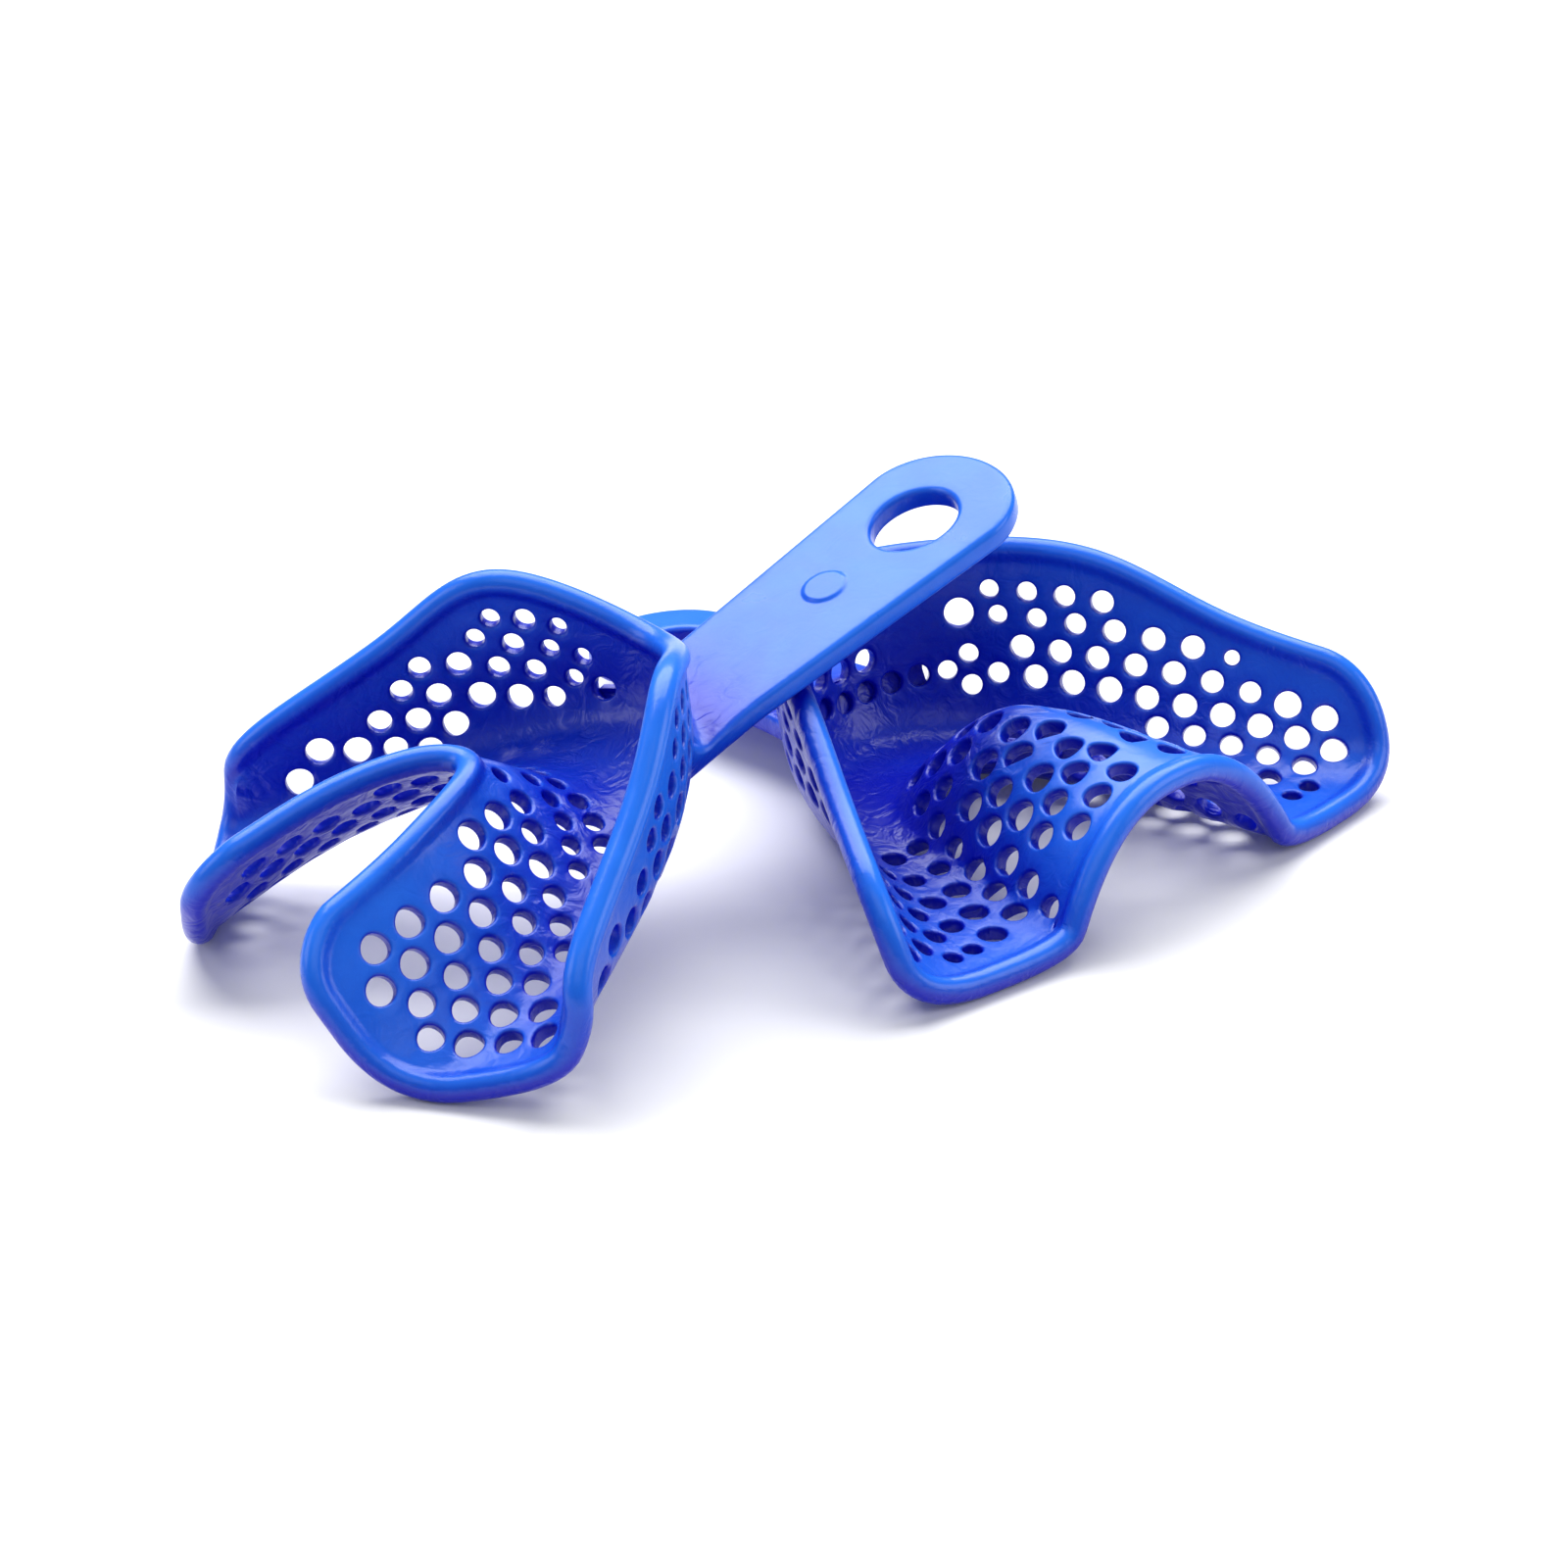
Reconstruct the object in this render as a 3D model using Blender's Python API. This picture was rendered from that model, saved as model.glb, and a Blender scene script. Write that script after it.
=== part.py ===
"""A matched pair of perforated dental impression trays, one lower and one upper.

Each tray is a single plastic moulding: a horseshoe trough (the upper one with a palate vault), a rolled
rim, rows of round retention holes, and a paddle handle. The upper tray rests flat on the table. The lower
tray stands on its two heels with its handle laid across the front rim of the upper tray.

A tray's surface is drawn by sections across the trough, from the cheek-side rim to the tongue-side rim (or
to the crest of the palate). A section is a polygon with rounded corners, and its corners run along rails.
Tray axes: +X to one side, +Y forward towards the handle, +Z up out of the trough. Lengths are in metres.
"""
import math

import bmesh
import bpy
import numpy as np
from mathutils import Vector
from mathutils.geometry import delaunay_2d_cdt

MM = 0.001

# Rails: one (x, y, z) in mm at each station, from the front midline (0) round to the heel of the arm (4).
LOWER_RAILS = [
    [(0, 48.8, 11.7), (14.0, 42.6, 18.4), (21.6, 32.0, 15.6), (28.9, 17.4, 11.3), (31.2, 13.5, 6.6)],
    [(0, 45.8, 2.8), (11.6, 40.3, 2.8), (19.8, 29.4, 2.8), (26.2, 16.8, 2.8), (29.6, 9.2, 2.4)],
    [(0, 34.4, 2.8), (8.4, 30.7, 2.8), (14.4, 22.8, 2.8), (18.1, 12.5, 2.8), (18.3, -1.9, 3.2)],
    [(0, 25.5, 14.5), (3.6, 23.0, 15.3), (6.3, 17.0, 16.2), (8.0, 9.8, 16.6), (9.0, -1.4, 17.0)],
]
UPPER_RAILS = [
    [(0, 50.2, 21.7), (13.4, 45.0, 21.9), (22.3, 32.6, 21.9), (29.0, 20.3, 16.6), (37.2, 6.6, 12.4)],
    [(0, 47.2, 1.9), (11.4, 42.3, 1.9), (18.4, 30.0, 1.9), (24.1, 17.7, 1.9), (36.0, 2.0, 1.8)],
    [(0, 35.5, 1.9), (6.8, 32.8, 1.9), (11.4, 25.0, 1.9), (14.0, 14.5, 1.9), (17.0, -0.2, 1.8)],
    [(0, 26.5, 14.0), (3.6, 24.0, 14.6), (6.0, 18.5, 15.0), (7.6, 10.6, 14.9), (9.6, 1.2, 14.4)],
    [(0, 19.5, 15.2), (0, 16.0, 15.4), (0, 11.5, 15.4), (0, 7.0, 15.0), (0, 1.2, 14.5)],
]
# How far a rounded corner reaches along the polygon's sides before and after it, as fractions of them.
LOWER_ROUNDING = [(0.45, 0.45), (0.45, 0.45)]
UPPER_ROUNDING = [(0.45, 0.45), (0.45, 0.14), (0.80, 0.90)]

# Lines of holes in mm: (run, rise) of the first and of the last hole of a line, and how many it has.
LOWER_LINES = [
    (15.6, -8.7, 2.4, -14.0, 4), (16.6, -11.9, 3.2, -17.4, 4), (16.9, -16.1, 6.0, -21.4, 3),
    (17.2, -20.0, 23.4, -20.5, 2), (22.4, -16.9, 44.9, -16.9, 5), (21.8, -13.3, 46.3, -13.5, 6),
    (20.4, -9.9, 45.1, -10.1, 6), (29.9, -7.1, 46.3, -6.9, 5), (33.6, -4.4, 45.7, -3.6, 4),
    (41.6, -0.5, 45.1, -0.2, 2), (44.7, 3.3, 44.7, 3.3, 1),
    (9.3, 9.5, 6.3, 2.5, 3), (12.3, 10.6, 9.3, 3.6, 3), (15.6, 11.4, 11.7, 1.6, 4),
    (17.9, 9.7, 15.3, 2.2, 3), (20.5, 7.6, 19.2, 3.5, 2), (24.5, 9.0, 22.5, 1.6, 3),
    (26.9, 7.6, 25.5, 0.1, 3), (29.8, 5.7, 29.1, 2.2, 2), (32.7, 4.2, 32.7, 4.2, 1),
    (36.0, 6.4, 39.1, 5.1, 2),
]
UPPER_LINES = [
    (16.4, 14.4, 31.6, 14.4, 5), (13.4, 11.7, 46.3, 11.3, 9), (14.4, 7.2, 14.4, 7.2, 1),
    (19.9, 8.3, 52.6, 8.3, 9), (17.5, 5.2, 53.6, 5.0, 10), (14.7, 3.7, 14.7, 3.7, 1),
    (34.8, 2.1, 51.1, 1.9, 5), (0.0, 7.2, 3.3, 7.5, 2), (0.0, 3.6, 12.2, 5.3, 5),
    (34.6, -1.3, 53.1, -1.2, 5), (30.0, -4.6, 52.6, -4.0, 5), (28.4, -8.2, 51.1, -7.3, 5),
    (32.8, -11.2, 49.1, -11.2, 4), (42.3, -14.7, 53.6, -14.8, 3),
    (51.1, -22.6, 48.7, -29.5, 3), (45.4, -19.1, 37.8, -29.0, 4), (39.1, -18.7, 32.2, -27.0, 3),
    (36.2, -15.3, 22.0, -28.9, 4), (30.0, -15.8, 16.8, -27.1, 3), (27.1, -12.0, 8.5, -26.2, 4),
    (20.3, -13.2, 5.6, -23.0, 3), (10.8, -15.0, 4.5, -19.2, 2),
]
# How fast a line sinks past a station, in mm of rise per squared station.
LOWER_BEND, UPPER_BEND = (1.18, 1.4), (2.7, 2.75)

WALL = 1.7 * MM             # thickness of the trough and the palate
LOWER_RIM_RADIUS = 1.4 * MM
UPPER_RIM_RADIUS = 1.4 * MM
LOWER_HOLE, UPPER_HOLE = 2.85 * MM, 3.25 * MM
RIM_BAND = 2.05 * MM        # least solid band between a free edge and a hole
WEB = 0.9 * MM              # least plastic between two holes
SMALLEST_HOLE = 1.6 * MM

HANDLE_THICKNESS = 2.5 * MM
HANDLE_END = 9.55 * MM      # half-width where the rounded tip starts
HANDLE_TAPER = 0.058        # loss of half-width per length, from the tip back to the root
HANDLE_TIP = 8.0 * MM       # length of the rounded tip
HANDLE_FLARE, FLARE_LENGTH = 2.2 * MM, 7.0 * MM  # widening where the handle meets the wall
HANDLE_HOLE = (4.6 * MM, 4.7 * MM)
HANDLE_HOLE_BACK = 10.6 * MM  # from the tip's end back to the hole's centre
HANDLE_CHAMFER = 0.5 * MM
# Handle placing: root y at the midline, how fast the root falls back across the wall (y per x squared),
# tip y, height of the top face at the tip, and tilt.
LOWER_HANDLE = (44.5 * MM, 0.041 / MM, 90.9 * MM, 3.3 * MM, math.radians(-1.1))
UPPER_HANDLE = (47.7 * MM, 0.031 / MM, 82.8 * MM, 6.3 * MM, math.radians(-3.1))

# How the pair stands on the table: heading (clockwise from +Y), tilt, and the tray origins.
LOWER_HEADING, LOWER_TILT, LOWER_PLACE = math.radians(53.3), math.radians(23.9), (-44.6 * MM, -50.6 * MM)
UPPER_HEADING, UPPER_TILT, UPPER_PLACE = math.radians(-44.7), 0.0, (39.8 * MM, -28.5 * MM)

BLUE = (0.010, 0.045, 0.62, 1.0)

HOLE_SIDES = 6
RIM_SIDES = 5
RIM_STEP = 2.9 * MM
FILL_STEP = 4.5 * MM
HEEL_ROUND = 6.0 * MM       # reach of the heels' rounded corners
SECTION_SAMPLES = 121
LAST = 4                    # station number of the heel


def clear_scene():
    for obj in list(bpy.data.objects):
        bpy.data.objects.remove(obj, do_unlink=True)


def spline(rows):
    """Natural cubic spline through rows at the stations -LAST..LAST; returns a function of the station."""
    count = len(rows)
    knots = np.arange(count) - LAST
    system = np.eye(count)
    right = np.zeros_like(rows)
    for i in range(1, count - 1):
        system[i, i - 1:i + 2] = (1, 4, 1)
        right[i] = 6 * (rows[i - 1] - 2 * rows[i] + rows[i + 1])
    bend = np.linalg.solve(system, right)

    def at(station):
        i = np.clip(np.floor(station).astype(int) + LAST, 0, count - 2)
        b = (station - knots[i])[:, None]
        a = 1 - b
        return (a * rows[i] + b * rows[i + 1]
                + ((a ** 3 - a) * bend[i] + (b ** 3 - b) * bend[i + 1]) / 6)
    return at


class Trough:
    """The middle surface of a tray, addressed by (run, rise).

    run is the distance along the foot of the outer wall from the front midline. rise is the distance
    along the section from that foot: positive up the outer wall, negative across the floor and beyond.
    """

    def __init__(self, rails, rounding):
        self.rails = []
        for rail in rails:
            half = np.array(rail, float) * MM
            mirrored = half[:0:-1] * (-1, 1, 1)
            self.rails.append(spline(np.vstack([mirrored, half])))
        self.rounding = rounding
        self.pieces = 2 * len(rails) - 3
        self.stations = np.linspace(-LAST, LAST, 321)
        self.steps = np.linspace(0, 1, SECTION_SAMPLES)
        foot = self.on_section(self.stations, np.full(321, self.foot_step()))
        self.runs = np.concatenate([[0], np.cumsum(np.linalg.norm(np.diff(foot, axis=0), axis=1))])
        self.runs -= self.runs[160]

    def foot_step(self):
        return 1.5 / self.pieces

    def controls(self, station):
        """Three control points for each piece of the section: straight, corner, straight, and so on."""
        points = [rail(station) for rail in self.rails]
        last = len(points) - 1
        enter = [None] + [points[k] + (points[k - 1] - points[k]) * self.rounding[k - 1][0]
                          for k in range(1, last)]
        leave = [points[0]] + [points[k] + (points[k + 1] - points[k]) * self.rounding[k - 1][1]
                               for k in range(1, last)]
        pieces = []
        for k in range(1, last):
            pieces.append((leave[k - 1], (leave[k - 1] + enter[k]) / 2, enter[k]))
            pieces.append((enter[k], points[k], leave[k]))
        pieces.append((leave[-1], (leave[-1] + points[last]) / 2, points[last]))
        return np.array(pieces)

    def on_section(self, station, step):
        """Points at the given fractions of the given sections."""
        pieces = self.controls(station)
        place = step * self.pieces
        index = np.clip(np.floor(place).astype(int), 0, self.pieces - 1)
        t = (place - index)[:, None]
        a, b, c = pieces[index, :, np.arange(len(station))].transpose(1, 0, 2)
        return (1 - t) ** 2 * a + 2 * t * (1 - t) * b + t ** 2 * c

    def rises(self, station):
        """The rise at each sample step of each section, as an array (stations, steps)."""
        count, samples = len(station), len(self.steps)
        grid = self.on_section(np.repeat(station, samples), np.tile(self.steps, count))
        grid = grid.reshape(count, samples, 3)
        length = np.linalg.norm(np.diff(grid, axis=1), axis=2).cumsum(axis=1)
        length = np.hstack([np.zeros((count, 1)), length])
        foot = [np.interp(self.foot_step(), self.steps, row) for row in length]
        return np.array(foot)[:, None] - length

    def table_range(self):
        """The lowest and the highest rise of the whole surface."""
        table = self.rises(self.stations)
        return table.min(), table.max()

    def station_at(self, run):
        return np.interp(run, self.runs, self.stations)

    def points(self, run, rise):
        station = self.station_at(run)
        table = self.rises(station)
        step = np.array([np.interp(-r, -row, self.steps) for r, row in zip(rise, table)])
        return self.on_section(station, step)

    def up_section(self, station, step):
        """Unit direction of growing rise at the given fractions of the given sections."""
        pieces = self.controls(station)
        place = step * self.pieces
        index = np.clip(np.floor(place).astype(int), 0, self.pieces - 1)
        t = (place - index)[:, None]
        a, b, c = pieces[index, :, np.arange(len(station))].transpose(1, 0, 2)
        return -unit((1 - t) * (b - a) + t * (c - b))

    def slopes(self, run, rise):
        """The surface's directions along run and along rise, per metre of each."""
        reach = 0.3 * MM
        limit = self.runs[-1] - reach
        run = np.clip(run, -limit, limit)
        station = self.station_at(run)
        table = self.rises(station)
        rise = np.clip(rise, table[:, -1] + reach, table[:, 0] - reach)
        step = np.array([np.interp(-r, -row, self.steps) for r, row in zip(rise, table)])
        along = (self.points(run + reach, rise) - self.points(run - reach, rise)) / (2 * reach)
        return along, self.up_section(station, step)


def unit(vectors):
    return vectors / np.linalg.norm(vectors, axis=-1, keepdims=True)


def even_places(trough, run, rise, step):
    """Thin a dense path in (run, rise) to points about one step apart along the surface."""
    path = trough.points(run, rise)
    length = np.concatenate([[0], np.cumsum(np.linalg.norm(np.diff(path, axis=0), axis=1))])
    count = max(2, int(round(length[-1] / step)))
    places = np.linspace(0, length[-1], count + 1)
    return np.stack([np.interp(places, length, run), np.interp(places, length, rise)], axis=1)


def rounded(corner, before, after):
    """Points of a rounded corner between two points of the outline."""
    t = np.linspace(0, 1, 40)[:, None]
    before, corner, after = np.array(before), np.array(corner), np.array(after)
    return (1 - t) ** 2 * before + 2 * t * (1 - t) * corner + t ** 2 * after


def free_edge(trough, vaulted):
    """Dense (run, rise) path along the +X half of the free edge, from the front round the heel."""
    end = trough.runs[-1]
    run = np.linspace(0, end, 300)
    table = trough.rises(trough.station_at(run))
    high, low = table[:, 0], table[:, -1]
    start = end - HEEL_ROUND
    cheek_start = (start, np.interp(start, run, high))
    cheek = rounded((end, high[-1]), cheek_start, (end, high[-1] - HEEL_ROUND))
    top = np.stack([run, high], axis=1)[run < start]
    if vaulted:
        return np.vstack([top, cheek, [(end, low[-1])]])
    tongue_end = (start, np.interp(start, run, low))
    tongue = rounded((end, low[-1]), (end, low[-1] + HEEL_ROUND), tongue_end)
    inner = np.stack([run, low], axis=1)[run < start][::-1]
    return np.vstack([top, cheek, tongue, inner])


def outline(trough, vaulted):
    """The (run, rise) outline of the surface, and how many of its first points are on the free rim."""
    path = free_edge(trough, vaulted)
    dense = np.vstack([np.linspace(a, b, 30, endpoint=False) if np.linalg.norm(a - b) > MM else [a]
                       for a, b in zip(path, path[1:])] + [path[-1:]])
    right = even_places(trough, dense[:, 0], dense[:, 1], RIM_STEP)
    flip = np.array([-1, 1])
    if not vaulted:
        left = (right[1:-1] * flip)[::-1]
        return np.vstack([left, right]), None
    left = (right[1:] * flip)[::-1]
    run = np.linspace(trough.runs[-1], 0, 300)
    crest = trough.rises(trough.station_at(run))[:, -1]
    inner = even_places(trough, run, crest, RIM_STEP)
    inner_right = inner[1:-1]
    inner_left = (inner_right * flip)[::-1]
    free = np.vstack([left, right])
    return np.vstack([free, inner_right, inner[-1:], inner_left]), len(free)


def distance_to_loop(points, loop):
    gap = points[:, None, :] - loop[None, :, :]
    return np.linalg.norm(gap, axis=2).min(axis=1)


def bent(bend, station, rise):
    """The rise of a line of holes once it bends with the arm."""
    sink, start = bend
    return rise - sink * MM * np.clip(station - start, 0, None) ** 2


def hole_sites(trough, tray):
    """Places of the holes on the +X half, as (run, rise), line by line."""
    sites = []
    for first_run, first_rise, last_run, last_rise, holes in tray["lines"]:
        run = np.linspace(first_run, last_run, 60) * MM
        rise = bent(tray["bend"], trough.station_at(run), np.linspace(first_rise, last_rise, 60) * MM)
        steps = np.linalg.norm(np.diff(trough.points(run, rise), axis=0), axis=1)
        length = np.concatenate([[0], np.cumsum(steps)])
        places = np.linspace(0, length[-1], holes) + np.arange(holes) * 1e-9
        number = np.interp(places, length, np.arange(60)) if holes > 1 else np.zeros(1)
        sites += zip(np.interp(number, np.arange(60), run), np.interp(number, np.arange(60), rise))
    return np.array(sites)


def choose_holes(trough, tray, sites, border):
    """The holes as (run, rise, radius), each shrunk until the webs and the band at the edge are kept."""
    points = trough.points(sites[:, 0], sites[:, 1])
    everything = np.vstack([points, points[sites[:, 0] > 0] * (-1, 1, 1)])
    margins = distance_to_loop(points, border)
    holes = []
    for (run, rise), point, margin in zip(sites, points, margins):
        gaps = np.sort(np.linalg.norm(everything - point, axis=1))
        radius = min(tray["hole"] / 2, (gaps[1] - WEB) / 2, margin - RIM_BAND)
        if radius > SMALLEST_HOLE / 2:
            holes.append((run, rise, radius))
    return holes


def filler(trough, border, sites):
    """Loose (run, rise) points on the +X half for the parts of the sheet that have no holes."""
    end, table = trough.runs[-1], trough.table_range()
    rows = np.arange(table[0], table[1], FILL_STEP * math.sqrt(3) / 2)
    grid = np.array([(run + FILL_STEP * (0.5 + 0.5 * (k % 2)), rise) for k, rise in enumerate(rows)
                     for run in np.arange(0, end, FILL_STEP)])
    stations = trough.station_at(grid[:, 0])
    rises = trough.rises(stations)
    grid = grid[(grid[:, 1] < rises[:, 0]) & (grid[:, 1] > rises[:, -1]) & (grid[:, 0] < end)]
    places = trough.points(grid[:, 0], grid[:, 1])
    centres = trough.points(sites[:, 0], sites[:, 1])
    clear = distance_to_loop(places, border) > 2.4 * MM
    clear &= distance_to_loop(places, centres) > 0.7 * FILL_STEP
    clear &= places[:, 0] > 0.8 * MM
    return [tuple(point) for point in grid[clear]]


def both_sides(items):
    return [tuple(item) for item in items] + [(-item[0],) + tuple(item[1:]) for item in items if item[0] > 0]


def ring_places(trough, hole, sides):
    """The (run, rise) points of a round hole's edge."""
    run, rise, radius = hole
    along, up = trough.slopes(np.array([run]), np.array([rise]))
    frame = np.stack([along[0], up[0]], axis=1)
    first = unit(along[0])
    second = unit(up[0] - first * np.dot(up[0], first))
    angles = np.arange(sides) * math.tau / sides + math.pi / sides
    circle = radius * (np.outer(np.cos(angles), first) + np.outer(np.sin(angles), second))
    return np.array([run, rise]) + np.linalg.lstsq(frame, circle.T, rcond=None)[0].T


def triangulate(border, rings, loose):
    """Triangles of the flat (run, rise) sheet with its holes left open."""
    coords = [Vector(p) for p in border]
    ring_of = [-1] * len(border)
    edges = [(i, (i + 1) % len(border)) for i in range(len(border))]
    for number, ring in enumerate(rings):
        start = len(coords)
        coords += [Vector(p) for p in ring]
        ring_of += [number] * len(ring)
        edges += [(start + i, start + (i + 1) % len(ring)) for i in range(len(ring))]
    coords += [Vector(p) for p in loose]
    ring_of += [-1] * len(loose)
    scale = 1 / MM
    scaled = [c * scale for c in coords]
    found = delaunay_2d_cdt(scaled, edges, [], 0, 1e-6)
    source = [ids[0] for ids in found[3]]
    triangles = []
    for face in found[2]:
        corners = [source[i] for i in face]
        numbers = {ring_of[i] for i in corners}
        if len(numbers) == 1 and -1 not in numbers:
            continue
        if inside_outline(border, sum((coords[i] for i in corners), Vector((0, 0))) / 3):
            triangles.append(corners)
    return [tuple(c) for c in coords], triangles


def inside_outline(border, point):
    """Even-odd test of a point against a closed outline."""
    x, y = point
    x0, y0 = border[:, 0], border[:, 1]
    x1, y1 = np.roll(x0, -1), np.roll(y0, -1)
    crosses = (y0 > y) != (y1 > y)
    with np.errstate(divide="ignore", invalid="ignore"):
        at = x0 + (y - y0) * (x1 - x0) / (y1 - y0)
    return bool(np.count_nonzero(crosses & (x < at)) % 2)


def rim_rings(centres, normals, radius):
    """Rings of points round the rolled rim, from the trough side over the edge to the outer side."""
    tangents = unit(np.roll(centres, -1, axis=0) - np.roll(centres, 1, axis=0))
    outward = unit(np.cross(normals, tangents))
    normals = unit(np.cross(tangents, outward))
    start = math.pi - math.asin(WALL / 2 / radius)
    angles = np.linspace(start, -start, RIM_SIDES + 1)
    return [centres + radius * (math.cos(a) * outward + math.sin(a) * normals) for a in angles]


def tray_shell(tray):
    """Closed mesh of one tray without its handle."""
    trough = Trough(tray["rails"], tray["rounding"])
    border, free_count = outline(trough, tray["vaulted"])
    free_count = free_count or len(border)
    border_points = trough.points(border[:, 0], border[:, 1])
    sites = hole_sites(trough, tray)
    holes = both_sides(choose_holes(trough, tray, sites, border_points[:free_count]))
    loose = both_sides(filler(trough, border_points, sites))
    rings = [ring_places(trough, hole, HOLE_SIDES) for hole in holes]
    coords, triangles = triangulate(border, rings, loose)
    flat = np.array(coords)
    middle = trough.points(flat[:, 0], flat[:, 1])
    along, up = trough.slopes(flat[:, 0], flat[:, 1])
    normals = unit(np.cross(along, up))
    if tray["vaulted"]:
        seam = [0] + list(range(free_count - 1, len(border)))
        middle[seam, 0] = 0
        normals[seam, 0] = 0
        normals = unit(normals)

    count = len(coords)
    inner = middle + normals * WALL / 2
    outer = middle - normals * WALL / 2
    closing = free_count - 1 if tray["vaulted"] else free_count
    rim = rim_rings(middle[:closing], normals[:closing], tray["rim"])
    inner[:closing], outer[:closing] = rim[0], rim[-1]
    if tray["vaulted"]:
        inner[closing], outer[closing] = rim[0][0], rim[-1][0]
    points = [inner, outer] + rim[1:-1]
    faces = [tuple(t) for t in triangles] + [tuple(count + i for i in reversed(t)) for t in triangles]
    start = len(border)
    for ring in rings:
        size = len(ring)
        for i in range(size):
            a, b = start + i, start + (i + 1) % size
            faces.append((a, b, count + b, count + a))
        start += size
    levels = [list(range(closing))]
    for k in range(RIM_SIDES - 1):
        levels.append([2 * count + k * closing + i for i in range(closing)])
    levels.append([count + i for i in range(closing)])
    for upper, lower in zip(levels, levels[1:]):
        for i in range(closing):
            j = (i + 1) % closing
            faces.append((upper[i], upper[j], lower[j], lower[i]))
    return np.vstack(points), faces


def mesh_from(name, points, faces):
    mesh = bpy.data.meshes.new(name)
    mesh.from_pydata([tuple(p) for p in points], [], faces)
    bm = bmesh.new()
    bm.from_mesh(mesh)
    bmesh.ops.remove_doubles(bm, verts=bm.verts[:], dist=0.002 * MM)
    bmesh.ops.triangulate(bm, faces=bm.faces[:])
    bm.to_mesh(mesh)
    bm.free()
    return mesh


def handle_outline(fall, length, inset):
    """Closed outline of a handle whose tip ends at (0, 0) and whose root lies at about -length."""
    side = []
    for k in range(5):
        back = FLARE_LENGTH * k / 4
        flare = HANDLE_FLARE * (1 - k / 4) ** 2
        width = HANDLE_END - HANDLE_TAPER * (length - HANDLE_TIP - back) + flare
        side.append((width - inset, back - length))
    side[0] = (side[0][0], -length - fall * side[0][0] ** 2)
    side[1] = (side[1][0], side[1][1] - fall * side[1][0] ** 2 / 2)
    side.append((HANDLE_END - inset, -HANDLE_TIP))
    tip = []
    for k in range(1, 12):
        angle = math.pi * k / 12
        tip.append(((HANDLE_END - inset) * math.cos(angle),
                    -HANDLE_TIP + (HANDLE_TIP - inset) * math.sin(angle)))
    edge = side[0][0]
    base = [(edge * f, -length - fall * (edge * f) ** 2) for f in (-0.67, -0.33, 0, 0.33, 0.67)]
    return side + tip + [(-x, y) for x, y in reversed(side)] + base


def handle_hole(inset, sides=20):
    across, along = HANDLE_HOLE
    return [((across + inset) * math.cos(math.tau * k / sides),
             -HANDLE_HOLE_BACK + (along + inset) * math.sin(math.tau * k / sides)) for k in range(sides)]


def handle_mesh(name, root_y, fall, tip_y, top_z, tilt):
    """Closed paddle with chamfered edges, in the tray's axes."""
    low, high = -HANDLE_THICKNESS, 0.0
    levels = [(low, HANDLE_CHAMFER), (low + HANDLE_CHAMFER, 0.0),
              (high - HANDLE_CHAMFER, 0.0), (high, HANDLE_CHAMFER)]
    bm = bmesh.new()
    loops = []
    for z, inset in levels:
        shapes = handle_outline(fall, tip_y - root_y, inset), handle_hole(inset)
        loops.append([[bm.verts.new((x, y, z)) for x, y in shape] for shape in shapes])
    for lower, upper in zip(loops, loops[1:]):
        for below, above in zip(lower, upper):
            size = len(below)
            for i in range(size):
                j = (i + 1) % size
                bm.faces.new((below[i], below[j], above[j], above[i]))
    for level in (loops[0], loops[-1]):
        edges = []
        for loop in level:
            edges += [bm.edges.get((loop[i], loop[(i + 1) % len(loop)])) for i in range(len(loop))]
        bmesh.ops.triangle_fill(bm, use_beauty=True, edges=edges)
    for vert in bm.verts:
        forward, height = vert.co.y, vert.co.z
        vert.co.y = tip_y + forward * math.cos(tilt) - height * math.sin(tilt)
        vert.co.z = top_z + forward * math.sin(tilt) + height * math.cos(tilt)
    bmesh.ops.recalc_face_normals(bm, faces=bm.faces[:])
    mesh = bpy.data.meshes.new(name)
    bm.to_mesh(mesh)
    bm.free()
    return mesh


def blue_plastic(name):
    material = bpy.data.materials.new(name)
    material.use_nodes = True
    shader = material.node_tree.nodes["Principled BSDF"]
    shader.inputs["Base Color"].default_value = BLUE
    shader.inputs["Roughness"].default_value = 0.22
    shader.inputs["Metallic"].default_value = 0.0
    return material


LOWER = {
    "name": "lower_tray", "rails": LOWER_RAILS, "rounding": LOWER_ROUNDING, "vaulted": False,
    "rim": LOWER_RIM_RADIUS, "hole": LOWER_HOLE, "lines": LOWER_LINES, "bend": LOWER_BEND,
    "handle": LOWER_HANDLE,
    "heading": LOWER_HEADING, "tilt": LOWER_TILT, "place": LOWER_PLACE,
}
UPPER = {
    "name": "upper_tray", "rails": UPPER_RAILS, "rounding": UPPER_ROUNDING, "vaulted": True,
    "rim": UPPER_RIM_RADIUS, "hole": UPPER_HOLE, "lines": UPPER_LINES, "bend": UPPER_BEND,
    "handle": UPPER_HANDLE,
    "heading": UPPER_HEADING, "tilt": UPPER_TILT, "place": UPPER_PLACE,
}


def world_corners(obj):
    """Lowest and highest world coordinates of a tray with its handle."""
    bpy.context.view_layer.update()
    forms = [obj] + list(obj.children)
    points = np.array([form.matrix_world @ v.co for form in forms for v in form.data.vertices])
    return points.min(axis=0), points.max(axis=0)


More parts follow.
